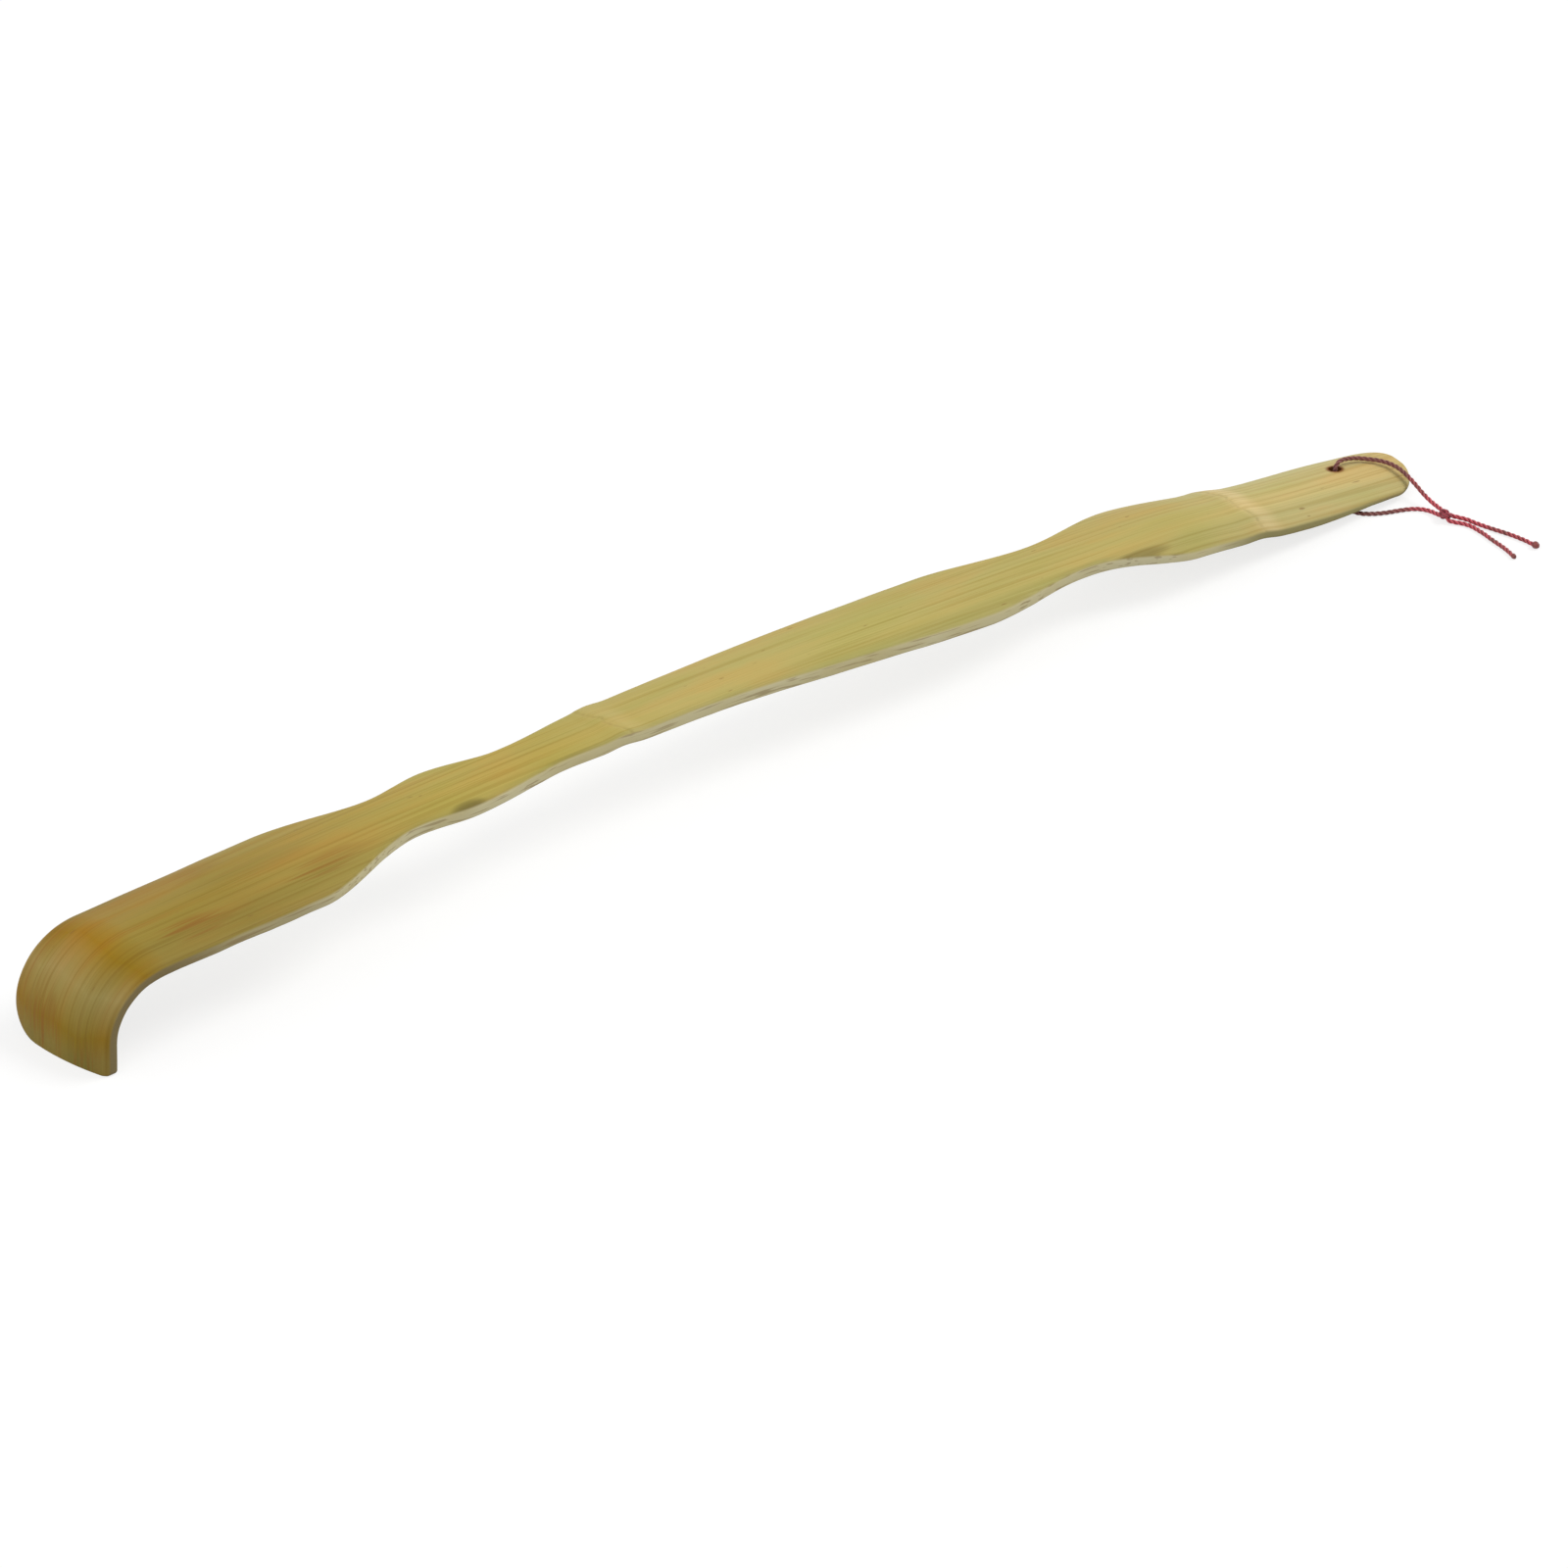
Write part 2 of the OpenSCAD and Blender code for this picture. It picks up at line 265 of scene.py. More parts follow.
def grain(tree, place, scale, detail=2.0, roughness=0.5, stretch=(1, 1, 1), shift=(0, 0, 0)):
    """Noise from 0 to 1, stretched along the axes and moved to a part of its own."""
    moved = put(tree, "ShaderNodeMapping",
                {"Vector": place, "Location": shift, "Scale": stretch}).outputs[0]
    made = put(tree, "ShaderNodeTexNoise", {
        "Vector": moved, "Scale": scale, "Detail": detail, "Roughness": roughness})
    return made.outputs["Fac"]


def ramp(tree, value, stops):
    """A colour read off a row of (place, colour) stops."""
    made = put(tree, "ShaderNodeValToRGB", {0: value})
    band = made.color_ramp
    band.interpolation = "LINEAR"
    while len(band.elements) < len(stops):
        band.elements.new(0.5)
    for element, (place, colour) in zip(band.elements, stops):
        element.position = place
        element.color = opaque(colour)
    return made.outputs[0]


def bumped(tree, height, strength, distance):
    """The normal of a surface with that relief."""
    made = put(tree, "ShaderNodeBump",
               {"Strength": strength, "Distance": distance, "Height": height})
    return made.outputs[0]


def opaque(colour):
    """A colour with its alpha."""
    return (colour[0], colour[1], colour[2], 1.0)


def new_material(name):
    """An empty node material, with its tree and its shader already joined to the output."""
    material = bpy.data.materials.new(name)
    material.use_nodes = True
    tree = material.node_tree
    tree.nodes.clear()
    shader = put(tree, "ShaderNodeBsdfPrincipled")
    put(tree, "ShaderNodeOutputMaterial", {"Surface": shader.outputs[0]})
    return material, tree, shader


# Objects


def placed(name, data):
    """A new object with that data, in the scene."""
    piece = bpy.data.objects.new(name, data)
    bpy.context.scene.collection.objects.link(piece)
    return piece


def finished(name, shape, material):
    """A bmesh as an object with smooth faces and its material."""
    mesh = bpy.data.meshes.new(name)
    shape.to_mesh(mesh)
    shape.free()
    mesh.materials.append(material)
    mesh.shade_smooth()
    return placed(name, mesh)


def modified(piece):
    """A new mesh of an object as its modifiers leave it."""
    bpy.context.view_layer.update()
    seen = piece.evaluated_get(bpy.context.evaluated_depsgraph_get())
    return bpy.data.meshes.new_from_object(seen)


# Shape of the bamboo strip


def from_hook(distance):
    """X of a place measured from the hook's face."""
    return HOOK_X + distance


def from_end(distance):
    """X of a place measured back from the tongue's end."""
    return END_X - distance


# The outline's stations: X, the width there, how far the near and the far edge's station is
# moved along the strip, and how much width is moved from the near side to the far side.
OUTLINE = (
    (from_hook(0.087), 0.0384, 0, 0, 0),
    (from_hook(0.127), 0.0204, 0.002, -0.002, 0),
    (from_hook(0.150), 0.0248, 0.001, -0.004, 0.0008),
    (from_hook(0.179), 0.0163, 0.008, -0.007, -0.0005),
    (from_hook(0.207), 0.0206, 0.010, 0, 0.0009),
    (from_end(0.164), 0.0290, 0.002, -0.006, 0.0004),
    (from_end(0.125), 0.0188, 0.003, -0.007, -0.0001),
    (from_end(0.085), 0.0348, 0, -0.004, 0.0005),
    (from_end(0.044), 0.0348, 0, 0, 0.0008),
    (END_X, 0.0236, 0, 0, -0.0038),
)
BLADE_WIDTH = OUTLINE[0][1]
KNUCKLE_X = from_hook(0.150)
BELLY_X = from_end(0.164)
NECK_X = from_end(0.125)
TAPER_X = from_end(0.044)
RING_XS = (from_hook(0.207), from_end(0.061))
# How far each node ring's line leans along the strip for a step across it
RING_SLANTS = (0.38, 0.12)
# The scar of each node ring: how far before the ring it lies, its depth and the ridge past it
SCAR_BEFORE = 0.0014
SCAR_DEPTH = 0.00008
SCAR_RIDGE = 0.00006
HOLE = (from_end(0.020), 0.001)
# Height of the skin along the strip, after its height at the bend
ARCH = ((KNUCKLE_X, 0.0343), (0, 0.0312), (BELLY_X, 0.0248), (NECK_X, 0.0217),
        (from_end(0.085), 0.0182), (TAPER_X, 0.0111), (END_X, 0.0050))

SKIN_STEPS = 36
EDGE_STEPS = 5
BEND_STEPS = 44
CORNER_STEPS = 22
STATION_GAP = 0.0008
RING_GAP = 0.00025
LIP_HEIGHTS = (0, 0.0002, 0.0005, 0.0009, 0.0014, 0.002, 0.0027, 0.0035, 0.0044, 0.0054,
               0.0065, 0.0075, 0.0085)
# Waves per metre of the edges' waver
SLOW_WAVER = 42
QUICK_WAVER = 190
Station = namedtuple("Station", "x z lean near far wall radius twist skew")


def ease(t):
    """Smooth step from 0 to 1."""
    t = max(0.0, min(1.0, t))
    return t * t * (3 - 2 * t)


def eased(table, x):
    """Value at x of a table of (x, value), eased from one station to the next."""
    for (x0, first), (x1, second) in zip(table, table[1:]):
        if x <= x1:
            break
    return first + (second - first) * ease((x - x0) / (x1 - x0))


def corner_cut(past, radius):
    """How far a rounded corner cuts in, a distance past its start."""
    past = max(0.0, min(radius, past))
    return radius - math.sqrt(radius * radius - past * past)


def wander(*place):
    """A smooth random number from -1 to 1 that belongs to a place."""
    return noise.noise(Vector(place))


class StripShape:
    """The strip's stations and cross-sections, worked out from its settings."""

    def __init__(self, sizes):
        self.sizes = sizes
        reach = sizes.lip_radius * (1 / math.cos(sizes.hook_skew) - 1)
        self.face_x = HOOK_X + reach
        self.bend_x = self.face_x + sizes.bend_radius
        self.lip_height = sizes.hook_height - sizes.bend_radius
        skew = math.tan(sizes.hook_skew)
        half = BLADE_WIDTH / 2
        self.near = [(self.bend_x, half)]
        self.far = [(self.bend_x, half)]
        for x, width, near_shift, far_shift, aside in OUTLINE:
            self.near.append((x + near_shift, width / 2 - aside))
            self.far.append((x + far_shift, width / 2 + aside))
        self.arch = [(self.bend_x, sizes.hook_height), *ARCH]
        self.walls = [(self.bend_x, sizes.hook_wall), (KNUCKLE_X, sizes.middle_wall),
                      (BELLY_X, sizes.middle_wall), (TAPER_X, sizes.tongue_wall),
                      (END_X, sizes.end_wall)]
        self.radii = [(NECK_X, sizes.handle_radius), (TAPER_X, sizes.tongue_radius)]
        self.twists = [(NECK_X, 0.0), (TAPER_X, sizes.tongue_twist)]
        self.skews = [(self.bend_x, skew), (self.near[1][0], 0.0)]
        self.skew = skew

    def slope(self, i):
        """Slope of the arch at its station i."""
        if i == 0:
            return 0.0
        (x0, z0), (x1, z1) = self.arch[i - 1], self.arch[min(i + 1, len(self.arch) - 1)]
        return (z1 - z0) / (x1 - x0)

    def height(self, x):
        """Height of the skin's crown at x, a cubic between stations."""
        last = len(self.arch) - 2
        i = next((k for k in range(last) if x <= self.arch[k + 1][0]), last)
        (x0, z0), (x1, z1) = self.arch[i], self.arch[i + 1]
        d = x1 - x0
        t = (x - x0) / d
        return (z0 * (1 + 2 * t) * (1 - t) ** 2 + z1 * t * t * (3 - 2 * t)
                + d * self.slope(i) * t * (1 - t) ** 2 + d * self.slope(i + 1) * t * t * (t - 1))

    def swelling(self, x):
        """Height that the node rings add at x."""
        half = self.sizes.ring_length / 2
        return sum(self.sizes.ring_height * (1 - ease(abs(x - at) / half))
                   for at in RING_XS)

    def top_places(self):
        """X of each station past the bend, closer together at the node rings and the end."""
        corner_x = END_X - self.sizes.tongue_corner
        places, x = [], self.bend_x
        while x < corner_x:
            at_ring = any(abs(x - at) < 0.004 for at in RING_XS)
            x += RING_GAP if at_ring else STATION_GAP
            places.append(min(x, corner_x))
        places += [corner_x + self.sizes.tongue_corner * math.sin(math.radians(86 * i / CORNER_STEPS))
                   for i in range(1, CORNER_STEPS + 1)]
        return places

    def stations(self):
        """All stations, from the lip's end up the hook, round the bend and along to the tongue."""
        sizes, half = self.sizes, BLADE_WIDTH / 2
        rows = []
        for z in LIP_HEIGHTS:
            rows.append(Station(
                self.face_x, z, math.pi / 2,
                half - corner_cut(sizes.near_corner - z, sizes.near_corner),
                half - corner_cut(sizes.far_corner - z, sizes.far_corner),
                sizes.hook_wall, sizes.lip_radius, 0.0, self.skew))
        bend_radii = [(0, sizes.lip_radius), (1, sizes.handle_radius)]
        for i in range(BEND_STEPS + 1):
            turn = i / BEND_STEPS
            lean = math.pi / 2 * (1 - turn)
            rows.append(Station(
                self.bend_x - sizes.bend_radius * math.sin(lean),
                self.lip_height + sizes.bend_radius * math.cos(lean), lean, half, half,
                sizes.hook_wall, eased(bend_radii, turn), 0.0, self.skew))
        corner_x = END_X - sizes.tongue_corner
        for x in self.top_places():
            cut = corner_cut(x - corner_x, sizes.tongue_corner)
            step = 0.0005
            rise = math.atan((self.height(x + step) - self.height(x - step)) / (2 * step))
            rows.append(Station(
                x, self.height(x) + self.swelling(x), rise,
                eased(self.near, x) - cut, eased(self.far, x) - cut,
                eased(self.walls, x), eased(self.radii, x), eased(self.twists, x),
                eased(self.skews, x)))
        return rows

    def section(self, station, along):
        """Points (y, depth, depth below the skin) round one section, from the near edge."""
        sizes = self.sizes
        waver = sizes.edge_waver * min(1.0, along / 0.01)
        fray = 1 + 0.35 * wander(along * 60, 2.5, 0)
        edge = min(sizes.edge_round * fray, station.wall / 2)
        wall = station.wall

        def wavering(width, slow, quick):
            return (width + waver * (wander(along * SLOW_WAVER, slow, 0) - 0.4)
                    + 0.3 * waver * wander(along * QUICK_WAVER, quick, 0))

        def drop(y):
            return station.radius - math.sqrt(station.radius ** 2 - y * y)

        def side(width, sign):
            upper, lower = [], []
            for k in range(EDGE_STEPS + 1):
                turn = math.pi / 2 * k / EDGE_STEPS
                y = width - edge + edge * math.sin(turn)
                cut = edge * (1 - math.cos(turn))
                upper.append((sign * y, drop(y) + cut))
                lower.append((sign * y, drop(y) + wall - cut))
            return upper + lower[::-1]

        near = wavering(station.near, 1.5, 4.5)
        far = wavering(station.far, 7.5, 9.5)
        low, high = -near + edge, far - edge
        across = [low + (high - low) * i / SKIN_STEPS for i in range(1, SKIN_STEPS)]
        points = side(near, -1)[::-1]
        points += [(y, drop(y)) for y in across]
        points += side(far, 1)
        points += [(y, drop(y) + wall) for y in reversed(across)]
        return [(y, depth, depth - drop(y)) for y, depth in points]

    def relief(self, x, y, along, below, wall):
        """How far a point sinks below its plain place: fibres, scraping and the ring's scar."""
        sizes = self.sizes
        if below < 0.2 * wall:
            sunk = 0.5 * sizes.fibre_relief * wander(along * 22, y * 620, 0)
            for at, slant in zip(RING_XS, RING_SLANTS):
                past = x + slant * y - at - 0.0006 * wander(y * 160, at * 50, 0)
                sunk += SCAR_DEPTH * math.exp(-(((past + SCAR_BEFORE) / 0.0006) ** 2))
                sunk -= SCAR_RIDGE * math.exp(-(((past - 0.0004) / 0.0009) ** 2))
            return sunk
        if below > 0.8 * wall:
            scraped = 2.2 * sizes.fibre_relief * wander(along * 18, y * 430, 3)
            hollow = 1.5 * sizes.fibre_relief * wander(along * 75, y * 120, 8)
            return scraped + hollow
        return 0.0

    def mesh(self):
        """The whole strip as one closed bmesh, with its grain written on each point."""
        shape = bmesh.new()
        grain_layer = shape.verts.layers.float_vector.new("grain")
        rings, along, before = [], 0.0, None
        for station in self.stations():
            here = Vector((station.x, station.z))
            if before is not None:
                along += (here - before).length
            before = here
            ring = []
            for y, depth, below in self.section(station, along):
                sunk = self.relief(station.x, y, along, below, station.wall)
                fade = min(1.0, along / 0.003)
                depth += sunk * fade
                turn, lean = station.twist, station.lean
                side = y * math.cos(turn) - depth * math.sin(turn)
                up = -y * math.sin(turn) - depth * math.cos(turn)
                point = shape.verts.new((
                    station.x - up * math.sin(lean) - station.skew * side,
                    side, max(0.0, station.z + up * math.cos(lean))))
                point[grain_layer] = (along, y, below)
                ring.append(point)
            rings.append(ring)
        for first, second in zip(rings, rings[1:]):
            for i in range(len(first)):
                j = (i + 1) % len(first)
                shape.faces.new((first[i], first[j], second[j], second[i]))
        self.cap(shape, rings[0], grain_layer)
        self.cap(shape, rings[-1], grain_layer)
        bmesh.ops.recalc_face_normals(shape, faces=shape.faces)
        return shape

    def cap(self, shape, ring, grain_layer):
        """Closes one end, with a row of middle points between the skin and the underside."""
        count = len(ring)
        first = 2 * EDGE_STEPS + 1
        top = [ring[first + i] for i in range(SKIN_STEPS + 1)]
        low = [ring[(count - i) % count] for i in range(SKIN_STEPS + 1)]
        middle = []
        for upper, lower in zip(top, low):
            point = shape.verts.new((upper.co + lower.co) / 2)
            point[grain_layer] = (upper[grain_layer] + lower[grain_layer]) / 2
            middle.append(point)
        for i in range(SKIN_STEPS):
            shape.faces.new((top[i], top[i + 1], middle[i + 1], middle[i]))
            shape.faces.new((middle[i], middle[i + 1], low[i + 1], low[i]))
        near_side = ring[:first + 1]
        half = (first + 1) // 2
        shape.faces.new(near_side[:half] + [middle[0]])
        shape.faces.new(near_side[half - 1:] + [middle[0]])
        far_start = first + SKIN_STEPS
        far_side = ring[far_start:far_start + first + 1]
        shape.faces.new(far_side[:half] + [middle[-1]])
        shape.faces.new(far_side[half - 1:] + [middle[-1]])


# Finish of the bamboo


# Colours of the skin by the distance along it from the lip; the stop at the bend is paler, a painted
# sheen
SKIN_TONES = (
    (0.004, "lip_olive"), (0.012, "scorched"), (0.027, "bend_sheen_tan"), (0.039, "amber"),
    (0.050, "toasted"), (0.085, "toasted"), (0.170, "straw"), (0.205, "straw"),
    (0.236, "pale_straw"), (0.275, "handle"), (0.445, "handle"), (0.480, "tongue_tan"),
)
STRIP_REACH = 0.53
# Scorch marks: distance along the strip, place across it, half length, half width, strength
SCORCHES = (
    (0.014, 0.006, 0.010, 0.010, 0.85), (0.007, -0.011, 0.007, 0.007, 0.6),
    (0.070, -0.011, 0.013, 0.005, 0.9), (0.088, 0.012, 0.010, 0.005, 0.5),
    (0.122, -0.009, 0.016, 0.005, 0.8), (0.105, 0.002, 0.022, 0.006, 0.4),
)
# Painted shade in hollows along the near edge, in the same order
SHADED_HOLLOWS = ((0.170, -0.0115, 0.008, 0.0035, 0.7), (0.422, -0.0125, 0.014, 0.0028, 0.5))
# The pale band just past each node ring, partly a painted highlight: its strength, its half width and
# how far past it lies
BAND_STRENGTHS = (0.15, 0.62)
BAND_HALF = 0.0062
BAND_PAST = 0.0015
# Stretches along the strip over which the cut flesh changes; the tongue's stretch brings in painted
# shade on its cut sides
FLESH_BLADE = (0.125, 0.095)
FLESH_HOOK = (0.085, 0.045)
FLESH_TONGUE = (0.440, 0.470)
# Stretch away from the hang hole's middle over which its burnt rim fades
BURNT_RIM = (0.0034, 0.0021)
HOLLOW_SHADE_BROWN = (0.16, 0.12, 0.025)
SCAR_BROWN = (0.33, 0.22, 0.07)
FLECK_BROWN = (0.22, 0.10, 0.03)
FIBRE_BROWN = (0.25, 0.16, 0.07)
BLADE_BROWN_AND_SHADE = (0.32, 0.26, 0.12)
BURNT_BROWN = (0.20, 0.055, 0.010)
CLOUDY_FLESH = (0.86, 0.80, 0.62)
# Painted shade: greyer, darker skin where it faces the near side
NEAR_SIDE_SHADE = (0.84, 0.88, 0.90)
# Noises on the unrolled strip: detail, roughness, stretch along, across and down, and a shift
NOISES = {
    "fine": (3, 0.6, (14, 2600, 2600), (0, 0, 0)),
    "threads": (2, 0.5, (9, 850, 850), (3, 0, 0)),
    "bands": (2, 0.5, (7, 230, 60), (9, 2, 0)),
    "clouds": (3, 0.55, (20, 70, 60), (0, 5, 2)),
    "dashes": (1, 0.5, (55, 1500, 1500), (1, 3, 7)),
    "flecks": (1, 0.5, (160, 700, 700), (4, 6, 1)),
}
# Tints: the noise that brings one in, where it starts and is full, its strength, its colour
SKIN_TINTS = (
    ("clouds", 0.44, 0.66, 0.6, (0.90, 0.97, 0.82)),
    ("clouds", 0.50, 0.34, 0.75, (1.08, 0.96, 0.92)),
    ("bands", 0.5, 0.7, 0.5, (1.07, 0.97, 0.92)),
    ("bands", 0.48, 0.3, 0.5, (0.94, 0.99, 0.98)),
)
FIBRE_TINTS = (
    ("threads", 0.52, 0.32, 0.6, (0.80, 0.72, 0.56)),
    ("fine", 0.50, 0.72, 0.7, (0.86, 0.84, 0.74)),
    ("fine", 0.46, 0.28, 0.8, (1.13, 1.11, 1.12)),
)


def spot(tree, along, across, centre, half_size):
    """A soft spot on the unrolled skin, 1 at its centre and 0 outside."""
    u = calc(tree, "DIVIDE", calc(tree, "SUBTRACT", along, centre[0]), half_size[0])
    v = calc(tree, "DIVIDE", calc(tree, "SUBTRACT", across, centre[1]), half_size[1])
    far = calc(tree, "ADD", calc(tree, "MULTIPLY", u, u), calc(tree, "MULTIPLY", v, v))
    return span(tree, far, 1.0, 0.1)


def tinted_by(tree, noises, skin, tints):
    """The skin with each of a table's tints, brought in by its noise."""
    for name, start, full, strength, tint in tints:
        skin = tinted(tree, span(tree, noises[name], start, full, 0, strength), skin, tint)
    return skin


def scorched_skin(tree, colours, lay, noises, broken, skin):
    """The skin with the reddish streaks, the scorch marks and painted shade in the hollows of its
    edge.
    """
    along, across, _ = parts(tree, lay)
    threads, bands = noises["threads"], noises["bands"]
    heat = span(tree, along, 0.20, 0.06)
    streaks = calc(tree, "MULTIPLY", span(tree, bands, 0.56, 0.70), span(tree, threads, 0.42, 0.66))
    marks = calc(tree, "MULTIPLY", calc(tree, "MULTIPLY", streaks, heat), 0.45)
    frayed = swayed(tree, along, threads, 0.05)
    for at, side, half_length, half_width, strength in SCORCHES:
        mark = spot(tree, frayed, across, (at, side), (half_length, half_width))
        mark = calc(tree, "MULTIPLY", calc(tree, "MULTIPLY", mark, broken), 0.75 * strength)
        marks = calc(tree, "MAXIMUM", marks, mark)
    skin = mix(tree, marks, skin, opaque(colours.streak))
    # Painted shade: dark spots in the hollows of the near edge
    for at, side, half_length, half_width, strength in SHADED_HOLLOWS:
        hollow = spot(tree, along, across, (at, side), (half_length, half_width))
        skin = mix(tree, calc(tree, "MULTIPLY", hollow, strength), skin, opaque(HOLLOW_SHADE_BROWN))
    return skin


def ringed_skin(tree, colours, lay, place, noises, broken, skin):
    """The skin with a pale band, partly a painted highlight, and a broken brown scar at each node
    ring.
    """
    across, x = parts(tree, lay)[1], parts(tree, place)[0]
    wobble = swayed(tree, 0, noises["bands"], 0.005)
    for ring_x, slant, strength in zip(RING_XS, RING_SLANTS, BAND_STRENGTHS):
        lean = calc(tree, "ADD", calc(tree, "MULTIPLY", across, slant), wobble)
        off = calc(tree, "SUBTRACT", calc(tree, "ADD", x, lean), ring_x)
        wide = calc(tree, "ABSOLUTE", calc(tree, "SUBTRACT", off, BAND_PAST))
        band = span(tree, wide, BAND_HALF, 0.0004, 0, strength)
        skin = mix(tree, band, skin, opaque(colours.ring_highlight_pink))
        scar = calc(tree, "ABSOLUTE", calc(tree, "ADD", off, SCAR_BEFORE))
        line = calc(tree, "MULTIPLY", span(tree, scar, 0.0009, 0.0001, 0, 0.32), broken)
        skin = mix(tree, line, skin, opaque(SCAR_BROWN))
    return skin


def skin_colour(tree, colours, lay, place, normal, noises):
    """The rind: straw, browned towards the hook, with streaks, fibres and node rings, a painted sheen
    at the bend, painted shade in the near edge's hollows and where the skin faces the near side, and a
    pale band at each ring that is partly a painted highlight.
    """
    blurred = swayed(tree, parts(tree, lay)[0], noises["clouds"], 0.012)
    stops = [(at / STRIP_REACH, getattr(colours, name)) for at, name in SKIN_TONES]
    skin = ramp(tree, calc(tree, "DIVIDE", blurred, STRIP_REACH), stops)
    skin = tinted_by(tree, noises, skin, SKIN_TINTS)
    broken = span(tree, noises["threads"], 0.40, 0.60, 0.08, 1)
    skin = scorched_skin(tree, colours, lay, noises, broken, skin)
    skin = ringed_skin(tree, colours, lay, place, noises, broken, skin)
    # Painted shade: skin facing the near side, towards -Y, is tinted greyer and darker
    skin = tinted(tree, span(tree, parts(tree, normal)[1], -0.13, -0.30, 0, 0.9), skin, NEAR_SIDE_SHADE)
    skin = tinted_by(tree, noises, skin, FIBRE_TINTS)
    return mix(tree, span(tree, noises["flecks"], 0.74, 0.80, 0, 0.5), skin, opaque(FLECK_BROWN))


def flesh_colour(tree, colours, lay, normal, noises):
    """The cut flesh, full of short dark fibre ends, brown round the hook, partly from heat and partly
    painted shade, and with painted shade on its sides by the tongue.
    """
    along = parts(tree, lay)[0]
    cloudy = span(tree, noises["clouds"], 0.35, 0.7, 0, 0.7)
    flesh = tinted(tree, cloudy, opaque(colours.flesh), CLOUDY_FLESH)
    # Partly painted shade: the cut sides darken along the blade and round the hook, partly heat
    # browning, partly shade
    flesh = mix(tree, span(tree, along, *FLESH_BLADE, 0, 0.6), flesh, opaque(BLADE_BROWN_AND_SHADE))
    flesh = mix(tree, span(tree, along, *FLESH_HOOK, 0, 0.9), flesh, opaque(colours.browned_and_shaded_flesh))
    # Painted shade: the cut faces along the tongue that don't face down are darkened
    upright = span(tree, parts(tree, normal)[2], -0.92, -0.55)
    tongue_shade = calc(tree, "MULTIPLY", span(tree, along, *FLESH_TONGUE), upright)
    flesh = mix(tree, tongue_shade, flesh, opaque(colours.shaded_tongue_flesh))
    return mix(tree, span(tree, noises["dashes"], 0.56, 0.68, 0, 0.5), flesh, opaque(FIBRE_BROWN))


def bamboo_material(colours):
    """Bamboo skin that turns to pale cut flesh below it, browned and streaked at the hook."""
    material, tree, shader = new_material("bamboo_finish")
    place = put(tree, "ShaderNodeTexCoord").outputs["Object"]
    lay = put(tree, "ShaderNodeAttribute", attribute_name="grain").outputs["Vector"]
    normal = put(tree, "ShaderNodeNewGeometry").outputs["Normal"]
    noises = {name: grain(tree, lay, 1.0, *settings) for name, settings in NOISES.items()}
    skin = skin_colour(tree, colours, lay, place, normal, noises)
    flesh = flesh_colour(tree, colours, lay, normal, noises)
    rind = span(tree, parts(tree, lay)[2], 0.00012, 0.0009)
    body = mix(tree, rind, skin, flesh)

    offset = parts(tree, vector_calc(tree, "SUBTRACT", place, (*HOLE, 0)))
    away = calc(tree, "SQRT", calc(tree, "ADD", calc(tree, "MULTIPLY", offset[0], offset[0]),
                                   calc(tree, "MULTIPLY", offset[1], offset[1])))
    body = mix(tree, span(tree, away, *BURNT_RIM, 0, 0.9), body, opaque(BURNT_BROWN))

    matt = mix_value(tree, rind, span(tree, noises["bands"], 0.3, 0.7, 0.46, 0.56), 0.8)
    rough = mix_value(tree, rind, noises["fine"], noises["dashes"])
    height = calc(tree, "ADD", calc(tree, "MULTIPLY", rough, 0.6),
                  calc(tree, "MULTIPLY", noises["threads"], 0.7))
    feed(tree, shader, {
        "Base Color": body, "Roughness": matt, "IOR": 1.46, "Specular IOR Level": 0.14,
        "Normal": bumped(tree, height, 0.45, 0.00012)})
    return material


# The hang cord


# The cord's routes, measured from the hang hole along X and Y and from the table along Z
UPPER_LEG = (
    (0, 0, 0.0061), (0, 0, 0.0072), (0.0005, 0.0001, 0.0083), (0.0017, 0.0004, 0.009),
    (0.0036, 0.0007, 0.0089), (0.0059, 0.0007, 0.0084), (0.0083, 0.0001, 0.0079),
    (0.0107, -0.0015, 0.0075), (0.0128, -0.0038, 0.0074), (0.0144, -0.0064, 0.0073),
    (0.0154, -0.0092, 0.0071), (0.0159, -0.0122, 0.0066), (0.0161, -0.0154, 0.0057),
    (0.0161, -0.0188, 0.0046), (0.016, -0.0222, 0.0035), (0.016, -0.0256, 0.0027),
    (0.016, -0.0288, 0.0024), (0.0159, -0.0318, 0.0023),
)
LOWER_LEG = (
    (0, 0, 0.0061), (0, 0, 0.0049), (-0.0003, -0.0003, 0.0038), (-0.0012, -0.0012, 0.0027),
    (-0.0024, -0.0028, 0.0018), (-0.0035, -0.005, 0.0012), (-0.0042, -0.0076, 0.0008),
    (-0.0043, -0.0104, 0.0007), (-0.0038, -0.0132, 0.0007), (-0.0022, -0.0159, 0.0007),
    (0.0006, -0.0182, 0.0007), (0.0039, -0.02, 0.0007), (0.0074, -0.0214, 0.0007),
    (0.0107, -0.023, 0.0007), (0.0132, -0.0252, 0.0007), (0.0143, -0.0282, 0.001),
    (0.0146, -0.0318, 0.0015),
)
LONG_TAIL = (
    (0.0167, -0.0345, 0.0018), (0.0183, -0.036, 0.0013), (0.0199, -0.0379, 0.0009),
    (0.0208, -0.0403, 0.0007), (0.0217, -0.0431, 0.0007), (0.0228, -0.0461, 0.0007),
    (0.024, -0.0491, 0.0007), (0.0251, -0.0521, 0.0007), (0.026, -0.0551, 0.0007),
    (0.0267, -0.0581, 0.0007), (0.027, -0.061, 0.0008),
)
